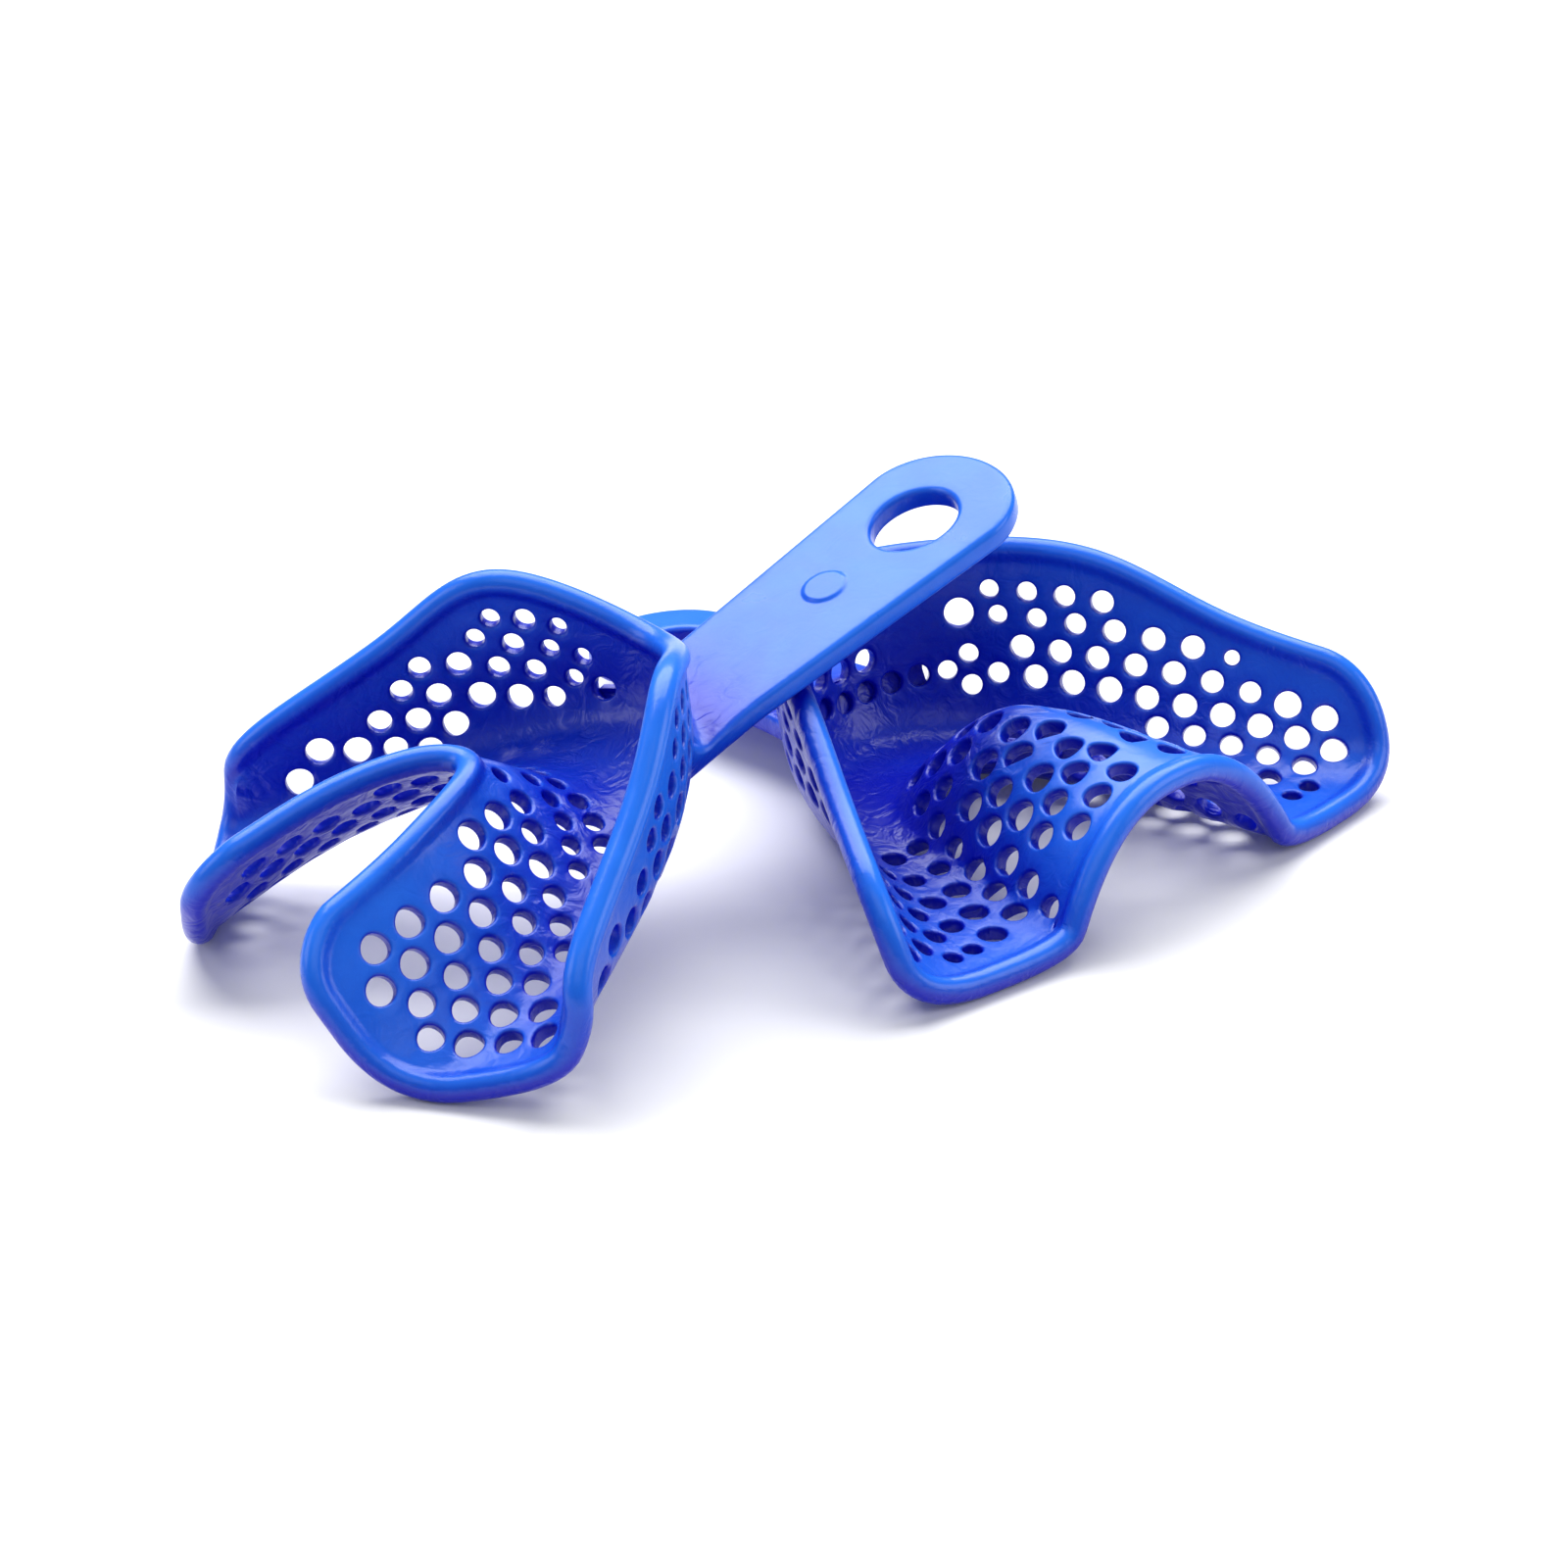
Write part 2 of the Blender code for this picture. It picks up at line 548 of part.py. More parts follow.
def build_tray(tray):
    name = tray["name"]
    points, faces = tray_shell(tray)
    obj = bpy.data.objects.new(name, mesh_from(name, points, faces))
    bpy.context.scene.collection.objects.link(obj)
    obj.data.materials.append(blue_plastic(name + "_plastic"))
    handle = bpy.data.objects.new(name + "_handle_form", handle_mesh(name + "_handle", *tray["handle"]))
    bpy.context.scene.collection.objects.link(handle)
    handle.parent = obj
    handle.hide_render = True
    handle.display_type = "WIRE"
    union = obj.modifiers.new("handle", "BOOLEAN")
    union.operation = "UNION"
    union.solver = "EXACT"
    union.object = handle
    obj.rotation_euler = (tray["tilt"], 0, -tray["heading"])
    obj.location = (*tray["place"], 0)
    lowest, _ = world_corners(obj)
    obj.location.z = -lowest[2]
    obj.data.shade_smooth()
    obj.data.set_sharp_from_angle(angle=math.radians(40))
    return obj


def centre_on_origin(objects):
    """Put the middle of the pair's footprint on the origin."""
    corners = [world_corners(obj) for obj in objects]
    low = np.min([c[0] for c in corners], axis=0)
    high = np.max([c[1] for c in corners], axis=0)
    for obj in objects:
        obj.location.x -= (low[0] + high[0]) / 2
        obj.location.y -= (low[1] + high[1]) / 2


def main():
    clear_scene()
    trays = [build_tray(UPPER), build_tray(LOWER)]
    centre_on_origin(trays)


main()
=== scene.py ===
"""The looks of a matched pair of dental impression trays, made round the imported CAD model.

Each coarse CAD tray is replaced by a fine mesh of the same shape: the trough is drawn from the same rails,
its holes get rounded edges, its rim is a smooth bead, and the handle runs into the wall with a fillet.
Tray axes: +X to one side, +Y forward towards the handle, +Z up out of the trough. Lengths are in metres.
"""

import math

import bmesh
import bpy
import numpy as np
from mathutils import Euler, Matrix, Vector, kdtree
from mathutils.geometry import delaunay_2d_cdt


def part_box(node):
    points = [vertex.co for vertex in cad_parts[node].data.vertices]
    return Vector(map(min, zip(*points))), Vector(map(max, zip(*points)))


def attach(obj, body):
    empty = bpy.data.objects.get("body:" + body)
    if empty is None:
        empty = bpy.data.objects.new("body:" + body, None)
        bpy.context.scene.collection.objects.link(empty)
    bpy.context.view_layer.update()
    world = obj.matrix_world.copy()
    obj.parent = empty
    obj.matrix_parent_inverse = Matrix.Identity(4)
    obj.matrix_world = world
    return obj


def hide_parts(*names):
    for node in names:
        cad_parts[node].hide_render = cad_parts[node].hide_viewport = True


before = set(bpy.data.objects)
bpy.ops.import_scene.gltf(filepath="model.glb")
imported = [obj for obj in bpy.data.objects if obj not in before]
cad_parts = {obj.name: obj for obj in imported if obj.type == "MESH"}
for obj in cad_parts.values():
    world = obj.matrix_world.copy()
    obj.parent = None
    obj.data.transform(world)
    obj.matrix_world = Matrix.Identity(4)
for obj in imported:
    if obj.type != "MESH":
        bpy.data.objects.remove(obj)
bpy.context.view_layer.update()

MM = 0.001

# Rails: one (x, y, z) in mm at each station, from the front midline (0) round to the heel of the arm (4).
LOWER_RAILS = [
    [(0, 48.8, 11.7), (14.0, 42.6, 18.4), (21.6, 32.0, 15.6), (28.9, 17.4, 11.3), (31.2, 13.5, 6.6)],
    [(0, 45.8, 2.8), (11.6, 40.3, 2.8), (19.8, 29.4, 2.8), (26.2, 16.8, 2.8), (29.6, 9.2, 2.4)],
    [(0, 34.4, 2.8), (8.4, 30.7, 2.8), (14.4, 22.8, 2.8), (18.1, 12.5, 2.8), (18.3, -1.9, 3.2)],
    [(0, 25.5, 14.5), (3.6, 23.0, 15.3), (6.3, 17.0, 16.2), (8.0, 9.8, 16.6), (9.0, -1.4, 17.0)],
]
UPPER_RAILS = [
    [(0, 50.2, 21.7), (13.4, 45.0, 21.9), (22.3, 32.6, 21.9), (29.0, 20.3, 16.6), (37.2, 6.6, 12.4)],
    [(0, 47.2, 1.9), (11.4, 42.3, 1.9), (18.4, 30.0, 1.9), (24.1, 17.7, 1.9), (36.0, 2.0, 1.8)],
    [(0, 35.5, 1.9), (6.8, 32.8, 1.9), (11.4, 25.0, 1.9), (14.0, 14.5, 1.9), (17.0, -0.2, 1.8)],
    [(0, 26.5, 14.0), (3.6, 24.0, 14.6), (6.0, 18.5, 15.0), (7.6, 10.6, 14.9), (9.6, 1.2, 14.4)],
    [(0, 19.5, 15.2), (0, 16.0, 15.4), (0, 11.5, 15.4), (0, 7.0, 15.0), (0, 1.2, 14.5)],
]
# How far a rounded corner reaches along the polygon's sides before and after it, as fractions of them.
LOWER_ROUNDING = [(0.45, 0.45), (0.45, 0.45)]
UPPER_ROUNDING = [(0.45, 0.45), (0.45, 0.14), (0.80, 0.90)]

# Lines of holes in mm: (run, rise) of the first and of the last hole of a line, and how many it has.
LOWER_LINES = [
    (15.6, -8.7, 2.4, -14.0, 4), (16.6, -11.9, 3.2, -17.4, 4), (16.9, -16.1, 6.0, -21.4, 3),
    (17.2, -20.0, 23.4, -20.5, 2), (22.4, -16.9, 44.9, -16.9, 5), (21.8, -13.3, 46.3, -13.5, 6),
    (20.4, -9.9, 45.1, -10.1, 6), (29.9, -7.1, 46.3, -6.9, 5), (33.6, -4.4, 45.7, -3.6, 4),
    (41.6, -0.5, 45.1, -0.2, 2), (44.7, 3.3, 44.7, 3.3, 1),
    (9.3, 9.5, 6.3, 2.5, 3), (12.3, 10.6, 9.3, 3.6, 3), (15.6, 11.4, 11.7, 1.6, 4),
    (17.9, 9.7, 15.3, 2.2, 3), (20.5, 7.6, 19.2, 3.5, 2), (24.5, 9.0, 22.5, 1.6, 3),
    (26.9, 7.6, 25.5, 0.1, 3), (29.8, 5.7, 29.1, 2.2, 2), (32.7, 4.2, 32.7, 4.2, 1),
    (36.0, 6.4, 39.1, 5.1, 2),
]
UPPER_LINES = [
    (16.4, 14.4, 31.6, 14.4, 5), (13.4, 11.7, 46.3, 11.3, 9), (14.4, 7.2, 14.4, 7.2, 1),
    (19.9, 8.3, 52.6, 8.3, 9), (17.5, 5.2, 53.6, 5.0, 10), (14.7, 3.7, 14.7, 3.7, 1),
    (34.8, 2.1, 51.1, 1.9, 5), (0.0, 7.2, 3.3, 7.5, 2), (0.0, 3.6, 12.2, 5.3, 5),
    (34.6, -1.3, 53.1, -1.2, 5), (30.0, -4.6, 52.6, -4.0, 5), (28.4, -8.2, 51.1, -7.3, 5),
    (32.8, -11.2, 49.1, -11.2, 4), (42.3, -14.7, 53.6, -14.8, 3),
    (51.1, -22.6, 48.7, -29.5, 3), (45.4, -19.1, 37.8, -29.0, 4), (39.1, -18.7, 32.2, -27.0, 3),
    (36.2, -15.3, 22.0, -28.9, 4), (30.0, -15.8, 16.8, -27.1, 3), (27.1, -12.0, 8.5, -26.2, 4),
    (20.3, -13.2, 5.6, -23.0, 3), (10.8, -15.0, 4.5, -19.2, 2),
]
# How fast a line sinks past a station, in mm of rise per squared station.
LOWER_BEND, UPPER_BEND = (1.18, 1.4), (2.7, 2.75)

WALL = 1.7 * MM             # thickness of the trough and the palate
LOWER_RIM_RADIUS = 1.4 * MM
UPPER_RIM_RADIUS = 1.4 * MM
LOWER_HOLE, UPPER_HOLE = 2.85 * MM, 3.25 * MM
RIM_BAND = 2.05 * MM        # least solid band between a free edge and a hole
WEB = 0.9 * MM              # least plastic between two holes
SMALLEST_HOLE = 1.6 * MM
HEEL_ROUND = 6.0 * MM       # reach of the heels' rounded corners
LAST = 4                    # station number of the heel

HANDLE_THICKNESS = 2.5 * MM
HANDLE_END = 9.55 * MM      # half-width where the rounded tip starts
HANDLE_TAPER = 0.058        # loss of half-width per length, from the tip back to the root
HANDLE_TIP = 8.0 * MM       # length of the rounded tip
HANDLE_FLARE, FLARE_LENGTH = 2.2 * MM, 7.0 * MM  # widening where the handle meets the wall
HANDLE_HOLE = (4.6 * MM, 4.7 * MM)
HANDLE_HOLE_BACK = 10.6 * MM  # from the tip's end back to the hole's centre
HANDLE_EDGE = 0.7 * MM      # radius of the handle's rounded edges
EDGE_FADE = 2.5 * MM        # length over which that rounding fades in from the hidden root

# Fineness of the meshes.
RIM_STEP = 0.7 * MM
FILL_STEP = 0.9 * MM
HOLE_SIDES = 28
HOLE_EDGE = 0.36 * MM       # radius of the rounded edge of a hole
HOLE_EDGE_STEPS = 4

BEAD_BLEND = 1.45 * MM      # length over which the wall thickens into the rim's bead
BEAD_STEPS = 5
BEAD_ROUND_STEPS = 6
EDGE_STEPS = 4

FLOOR_GLOW = 0.03           # strength of the table's own light
FLOOR_HALF, FLOOR_GAP = 3.0, 0.05 * MM  # half-width of the table, and how far it lies below the trays
PAINTED_SHADE_BLUE = (0.0005, 0.006, 0.45, 1)  # painted shade: the deep blue mixed in where the trough is occluded

# Mark on the handles: a plain raised round pip.
PIP_RADIUS, PIP_HEIGHT, PIP_BACK = 2.3 * MM, 0.28 * MM, 22.8 * MM


def unit(vectors):
    return vectors / np.linalg.norm(vectors, axis=-1, keepdims=True)


def path_length(points):
    """Distance run along a path at each of its points."""
    return np.concatenate([[0], np.cumsum(np.linalg.norm(np.diff(points, axis=0), axis=1))])


def spline(rows):
    """Natural cubic spline through rows at the stations -LAST..LAST; returns a function of the station."""
    count = len(rows)
    knots = np.arange(count) - LAST
    system = np.eye(count)
    right = np.zeros_like(rows)
    for i in range(1, count - 1):
        system[i, i - 1:i + 2] = (1, 4, 1)
        right[i] = 6 * (rows[i - 1] - 2 * rows[i] + rows[i + 1])
    bend = np.linalg.solve(system, right)

    def at(station):
        i = np.clip(np.floor(station).astype(int) + LAST, 0, count - 2)
        b = (station - knots[i])[:, None]
        a = 1 - b
        return (a * rows[i] + b * rows[i + 1]
                + ((a ** 3 - a) * bend[i] + (b ** 3 - b) * bend[i + 1]) / 6)
    return at


class Trough:
    """The middle surface of a tray, addressed by (run, rise).

    run is the distance along the foot of the outer wall from the front midline. rise is the distance
    along the section from that foot: positive up the outer wall, negative across the floor and beyond.
    """

    def __init__(self, rails, rounding):
        self.rails = []
        for rail in rails:
            half = np.array(rail, float) * MM
            mirrored = half[:0:-1] * (-1, 1, 1)
            self.rails.append(spline(np.vstack([mirrored, half])))
        self.rounding = rounding
        self.pieces = 2 * len(rails) - 3
        self.stations = np.linspace(-LAST, LAST, 641)
        self.steps = np.linspace(0, 1, 181)
        self.table = self.measure()
        foot = self.on_section(self.stations, np.full(len(self.stations), self.foot_step()))
        self.runs = path_length(foot)
        self.runs -= self.runs[len(self.runs) // 2]

    def foot_step(self):
        return 1.5 / self.pieces

    def measure(self):
        """The rise at each sample step of each sample station."""
        count, samples = len(self.stations), len(self.steps)
        grid = self.on_section(np.repeat(self.stations, samples), np.tile(self.steps, count))
        grid = grid.reshape(count, samples, 3)
        length = np.linalg.norm(np.diff(grid, axis=1), axis=2).cumsum(axis=1)
        length = np.hstack([np.zeros((count, 1)), length])
        foot = [np.interp(self.foot_step(), self.steps, row) for row in length]
        return np.array(foot)[:, None] - length

    def parts(self, station, step):
        """The three control points of the section's piece at each place, and how far along it is."""
        points = [rail(station) for rail in self.rails]
        last = len(points) - 1
        enter = [None] + [points[k] + (points[k - 1] - points[k]) * self.rounding[k - 1][0]
                          for k in range(1, last)]
        leave = [points[0]] + [points[k] + (points[k + 1] - points[k]) * self.rounding[k - 1][1]
                               for k in range(1, last)]
        pieces = []
        for k in range(1, last):
            pieces.append((leave[k - 1], (leave[k - 1] + enter[k]) / 2, enter[k]))
            pieces.append((enter[k], points[k], leave[k]))
        pieces.append((leave[-1], (leave[-1] + points[last]) / 2, points[last]))
        place = step * self.pieces
        index = np.clip(np.floor(place).astype(int), 0, self.pieces - 1)
        chosen = np.array(pieces)[index, :, np.arange(len(station))]
        return chosen.transpose(1, 0, 2), (place - index)[:, None]

    def on_section(self, station, step):
        """Points at the given fractions of the given sections."""
        (a, b, c), t = self.parts(station, step)
        return (1 - t) ** 2 * a + 2 * t * (1 - t) * b + t ** 2 * c

    def up_section(self, station, step):
        """Unit direction of growing rise at the given fractions of the given sections."""
        (a, b, c), t = self.parts(station, step)
        return -unit((1 - t) * (b - a) + t * (c - b))

    def rises(self, station):
        """The rise at each sample step of each section, as an array (stations, steps)."""
        place = np.clip((station + LAST) / (2 * LAST), 0, 1) * (len(self.stations) - 1)
        low = np.minimum(np.floor(place).astype(int), len(self.stations) - 2)
        share = (place - low)[:, None]
        return self.table[low] * (1 - share) + self.table[low + 1] * share

    def station_at(self, run):
        return np.interp(run, self.runs, self.stations)

    def step_at(self, station, rise):
        rows = self.rises(station)
        return np.array([np.interp(-r, -row, self.steps) for r, row in zip(rise, rows)])

    def points(self, run, rise):
        station = self.station_at(run)
        return self.on_section(station, self.step_at(station, rise))

    def slopes(self, run, rise):
        """The surface's directions along run and along rise, per metre of each."""
        reach = 0.3 * MM
        limit = self.runs[-1] - reach
        run = np.clip(run, -limit, limit)
        station = self.station_at(run)
        table = self.rises(station)
        rise = np.clip(rise, table[:, -1] + reach, table[:, 0] - reach)
        along = (self.points(run + reach, rise) - self.points(run - reach, rise)) / (2 * reach)
        return along, self.up_section(station, self.step_at(station, rise))


def even_places(trough, run, rise, step):
    """Thin a dense path in (run, rise) to points about one step apart along the surface."""
    length = path_length(trough.points(run, rise))
    count = max(2, int(round(length[-1] / step)))
    places = np.linspace(0, length[-1], count + 1)
    return np.stack([np.interp(places, length, run), np.interp(places, length, rise)], axis=1)


def rounded(corner, before, after):
    """Points of a rounded corner between two points of the outline."""
    t = np.linspace(0, 1, 40)[:, None]
    before, corner, after = np.array(before), np.array(corner), np.array(after)
    return (1 - t) ** 2 * before + 2 * t * (1 - t) * corner + t ** 2 * after


def free_edge(trough, vaulted):
    """Dense (run, rise) path along the +X half of the free edge, from the front round the heel."""
    end = trough.runs[-1]
    run = np.linspace(0, end, 300)
    table = trough.rises(trough.station_at(run))
    high, low = table[:, 0], table[:, -1]
    start = end - HEEL_ROUND
    cheek_start = (start, np.interp(start, run, high))
    cheek = rounded((end, high[-1]), cheek_start, (end, high[-1] - HEEL_ROUND))
    top = np.stack([run, high], axis=1)[run < start]
    if vaulted:
        return np.vstack([top, cheek, [(end, low[-1])]])
    tongue_end = (start, np.interp(start, run, low))
    tongue = rounded((end, low[-1]), (end, low[-1] + HEEL_ROUND), tongue_end)
    inner = np.stack([run, low], axis=1)[run < start][::-1]
    return np.vstack([top, cheek, tongue, inner])


def outline(trough, vaulted):
    """The (run, rise) outline of the surface, and how many of its first points are on the free rim."""
    path = free_edge(trough, vaulted)
    dense = np.vstack([np.linspace(a, b, 30, endpoint=False) if np.linalg.norm(a - b) > MM else [a]
                       for a, b in zip(path, path[1:])] + [path[-1:]])
    right = even_places(trough, dense[:, 0], dense[:, 1], RIM_STEP)
    flip = np.array([-1, 1])
    if not vaulted:
        left = (right[1:-1] * flip)[::-1]
        border = np.vstack([left, right])
        return border, len(border)
    left = (right[1:] * flip)[::-1]
    run = np.linspace(trough.runs[-1], 0, 300)
    crest = trough.rises(trough.station_at(run))[:, -1]
    inner = even_places(trough, run, crest, RIM_STEP)
    inner_right = inner[1:-1]
    inner_left = (inner_right * flip)[::-1]
    free = np.vstack([left, right])
    return np.vstack([free, inner_right, inner[-1:], inner_left]), len(free)


def distance_to_loop(points, loop):
    tree = kdtree.KDTree(len(loop))
    for i, point in enumerate(loop):
        tree.insert(point, i)
    tree.balance()
    return np.array([tree.find(point)[2] for point in points])


def bent(bend, station, rise):
    """The rise of a line of holes once it bends with the arm."""
    sink, start = bend
    return rise - sink * MM * np.clip(station - start, 0, None) ** 2


def hole_sites(trough, tray):
    """Places of the holes on the +X half, as (run, rise), line by line."""
    sites = []
    for first_run, first_rise, last_run, last_rise, holes in tray["lines"]:
        run = np.linspace(first_run, last_run, 60) * MM
        rise = bent(tray["bend"], trough.station_at(run), np.linspace(first_rise, last_rise, 60) * MM)
        length = path_length(trough.points(run, rise))
        places = np.linspace(0, length[-1], holes) + np.arange(holes) * 1e-9
        number = np.interp(places, length, np.arange(60)) if holes > 1 else np.zeros(1)
        sites += zip(np.interp(number, np.arange(60), run), np.interp(number, np.arange(60), rise))
    return np.array(sites)


def choose_holes(trough, tray, sites, border):
    """The holes as (run, rise, radius), each shrunk until the webs and the band at the edge are kept."""
    points = trough.points(sites[:, 0], sites[:, 1])
    everything = np.vstack([points, points[sites[:, 0] > 0] * (-1, 1, 1)])
    margins = distance_to_loop(points, border)
    holes = []
    for (run, rise), point, margin in zip(sites, points, margins):
        gaps = np.sort(np.linalg.norm(everything - point, axis=1))
        radius = min(tray["hole"] / 2, (gaps[1] - WEB) / 2, margin - RIM_BAND)
        if radius > SMALLEST_HOLE / 2:
            holes.append((run, rise, radius))
    return holes


def both_sides(items):
    mirrored = [(-item[0],) + tuple(item[1:]) for item in items if item[0] > 0]
    return [tuple(item) for item in items] + mirrored


def ring_places(trough, hole, sides):
    """The (run, rise) points of a circle drawn on the surface."""
    run, rise, radius = hole
    along, up = trough.slopes(np.array([run]), np.array([rise]))
    chart = np.stack([along[0], up[0]], axis=1)
    first = unit(along[0])
    second = unit(up[0] - first * np.dot(up[0], first))
    angles = np.arange(sides) * math.tau / sides + math.pi / sides
    circle = radius * (np.outer(np.cos(angles), first) + np.outer(np.sin(angles), second))
    return np.array([run, rise]) + np.linalg.lstsq(chart, circle.T, rcond=None)[0].T


def inside_outline(border, points):
    """Even-odd test of many points against a closed outline."""
    x, y = points[:, 0:1], points[:, 1:2]
    x0, y0 = border[:, 0], border[:, 1]
    x1, y1 = np.roll(x0, -1), np.roll(y0, -1)
    crosses = (y0 > y) != (y1 > y)
    with np.errstate(divide="ignore", invalid="ignore"):
        at = x0 + (y - y0) * (x1 - x0) / (y1 - y0)
    return np.count_nonzero(crosses & (x < at), axis=1) % 2 == 1


def triangulate(border, rings, loose):
    """Coordinates and triangles of a flat sheet with its holes left open."""
    coords = np.vstack([border] + list(rings) + [loose])
    ring_of = np.full(len(coords), -1)
    edges = [(i, (i + 1) % len(border)) for i in range(len(border))]
    start = len(border)
    for number, ring in enumerate(rings):
        size = len(ring)
        ring_of[start:start + size] = number
        edges += [(start + i, start + (i + 1) % size) for i in range(size)]
        start += size
    found = delaunay_2d_cdt([Vector(c) / MM for c in coords], edges, [], 0, 1e-6)
    source = np.array([ids[0] for ids in found[3]])
    triangles = source[np.array(found[2])]
    numbers = ring_of[triangles]
    in_hole = (numbers[:, 0] >= 0) & (numbers[:, 0] == numbers[:, 1]) & (numbers[:, 0] == numbers[:, 2])
    middle = coords[triangles].mean(axis=1)
    return coords, triangles[~in_hole & inside_outline(border, middle)]


def hex_grid(low, high, step):
    """Points of a hexagonal grid over a rectangle."""
    rows = np.arange(low[1], high[1], step * math.sqrt(3) / 2)
    columns = np.arange(low[0], high[0], step)
    return np.array([(x + 0.5 * step * (k % 2), y) for k, y in enumerate(rows) for x in columns])


def fill_points(trough, border, rings, margin):
    """Loose (run, rise) points that keep clear of the outline and of the holes."""
    half = hex_grid((0.5 * FILL_STEP, border[:, 1].min()), border.max(axis=0), FILL_STEP)
    grid = np.vstack([half, half * (-1, 1)])
    grid = grid[inside_outline(border, grid)]
    places = trough.points(grid[:, 0], grid[:, 1])
    clear = distance_to_loop(places, trough.points(border[:, 0], border[:, 1])) > margin
    ring = np.vstack(rings)
    clear &= distance_to_loop(places, trough.points(ring[:, 0], ring[:, 1])) > 0.5 * FILL_STEP
    grid, places = grid[clear], places[clear]
    middles = np.array([r.mean(axis=0) for r in rings])
    reach = distance_to_loop(places, trough.points(middles[:, 0], middles[:, 1]))
    return grid[reach > 1.2 * MM + HOLE_EDGE]


def quad_strip(faces, first, second, closed=True):
    """Faces between two rows of point numbers, row by row in the same order."""
    size = len(first)
    for i in range(size if closed else size - 1):
        j = (i + 1) % size
        faces.append((first[i], first[j], second[j], second[i]))


def bead_profile(radius):
    """(reach, height) points of the rim's bead, from the wall's inner face round to its outer face."""
    blend = []
    for k in range(BEAD_STEPS):
        share = k / BEAD_STEPS
        height = WALL / 2 + (radius - WALL / 2) * share ** 2 * (3 - 2 * share)
        blend.append((-BEAD_BLEND * (1 - share), height))
    angles = np.linspace(math.pi / 2, 0, BEAD_ROUND_STEPS, endpoint=False)
    arc = [(radius * math.cos(a), radius * math.sin(a)) for a in angles]
    half = blend + arc
    return half + [(radius, 0.0)] + [(reach, -height) for reach, height in reversed(half)]


def bead_rings(centres, normals, radius):
    """Rings of points round the rim's bead."""
    tangents = unit(np.roll(centres, -1, axis=0) - np.roll(centres, 1, axis=0))
    outward = unit(np.cross(normals, tangents))
    normals = unit(np.cross(tangents, outward))
    return [centres + reach * outward + height * normals for reach, height in bead_profile(radius)]


def hole_profile():
    """(reach, height) points of a hole's wall, from the inner face through to the outer face."""
    half = []
    for k in range(1, HOLE_EDGE_STEPS + 1):
        angle = math.pi / 2 * k / HOLE_EDGE_STEPS
        half.append((HOLE_EDGE * math.sin(angle), WALL / 2 - HOLE_EDGE * (1 - math.cos(angle))))
    return half + [(reach, -height) for reach, height in reversed(half)]


def add_holes(points, faces, start, rings, middles, normals, centres):
    """Rounded walls through the two sheets, for every ring of holes."""
    sheet = len(middles)
    total = sum(len(p) for p in points)
    for ring, centre in zip(rings, centres):
        size = len(ring)
        rows = slice(start, start + size)
        normal = normals[rows]
        inward = centre - middles[rows]
        inward = unit(inward - normal * np.sum(inward * normal, axis=1, keepdims=True))
        previous = list(range(start, start + size))
        for reach, height in hole_profile():
            points.append(middles[rows] + reach * inward + height * normal)
            level = list(range(total, total + size))
            quad_strip(faces, previous, level)
            previous = level
            total += size
        quad_strip(faces, previous, [sheet + i for i in range(start, start + size)])
        start += size


def tray_shell(tray):
    """Closed mesh of one tray without its handle, as points and faces."""
    trough = Trough(tray["rails"], tray["rounding"])
    border, free_count = outline(trough, tray["vaulted"])
    edge = trough.points(border[:free_count, 0], border[:free_count, 1])
    holes = both_sides(choose_holes(trough, tray, hole_sites(trough, tray), edge))
    rings = [ring_places(trough, (run, rise, radius + HOLE_EDGE), HOLE_SIDES)
             for run, rise, radius in holes]
    loose = fill_points(trough, border, rings, BEAD_BLEND + 0.5 * FILL_STEP)
    coords, triangles = triangulate(border, rings, loose)
    middle = trough.points(coords[:, 0], coords[:, 1])
    along, up = trough.slopes(coords[:, 0], coords[:, 1])
    normals = unit(np.cross(along, up))
    if tray["vaulted"]:
        seam = [0] + list(range(free_count - 1, len(border)))
        middle[seam, 0] = 0
        normals[seam, 0] = 0
        normals = unit(normals)

    count = len(coords)
    inner = middle + normals * WALL / 2
    outer = middle - normals * WALL / 2
    closing = free_count - 1 if tray["vaulted"] else free_count
    bead = bead_rings(middle[:closing], normals[:closing], tray["rim"])
    inner[:closing], outer[:closing] = bead[0], bead[-1]
    if tray["vaulted"]:
        inner[closing], outer[closing] = bead[0][0], bead[-1][0]
    points = [inner, outer] + bead[1:-1]
    faces = [tuple(t) for t in triangles] + [tuple(count + i for i in reversed(t)) for t in triangles]
    levels = [list(range(closing))]
    for k in range(len(bead) - 2):
        levels.append([2 * count + k * closing + i for i in range(closing)])
    levels.append([count + i for i in range(closing)])
    for upper, lower in zip(levels, levels[1:]):
        quad_strip(faces, upper, lower)
    centres = trough.points(np.array([h[0] for h in holes]), np.array([h[1] for h in holes]))
    add_holes(points, faces, len(border), rings, middle, normals, centres)
    return np.vstack(points), faces


def mesh_from(name, points, faces):
    mesh = bpy.data.meshes.new(name)
    mesh.from_pydata([tuple(p) for p in points], [], [tuple(int(i) for i in f) for f in faces])
    bm = bmesh.new()
    bm.from_mesh(mesh)
    bmesh.ops.remove_doubles(bm, verts=bm.verts[:], dist=0.002 * MM)
    bm.to_mesh(mesh)
    bm.free()
    return mesh


def outward_of(loop):
    """Unit normals of a closed outline that runs anticlockwise."""
    along = unit(np.roll(loop, -1, axis=0) - np.roll(loop, 1, axis=0))
    return np.stack([along[:, 1], -along[:, 0]], axis=1)


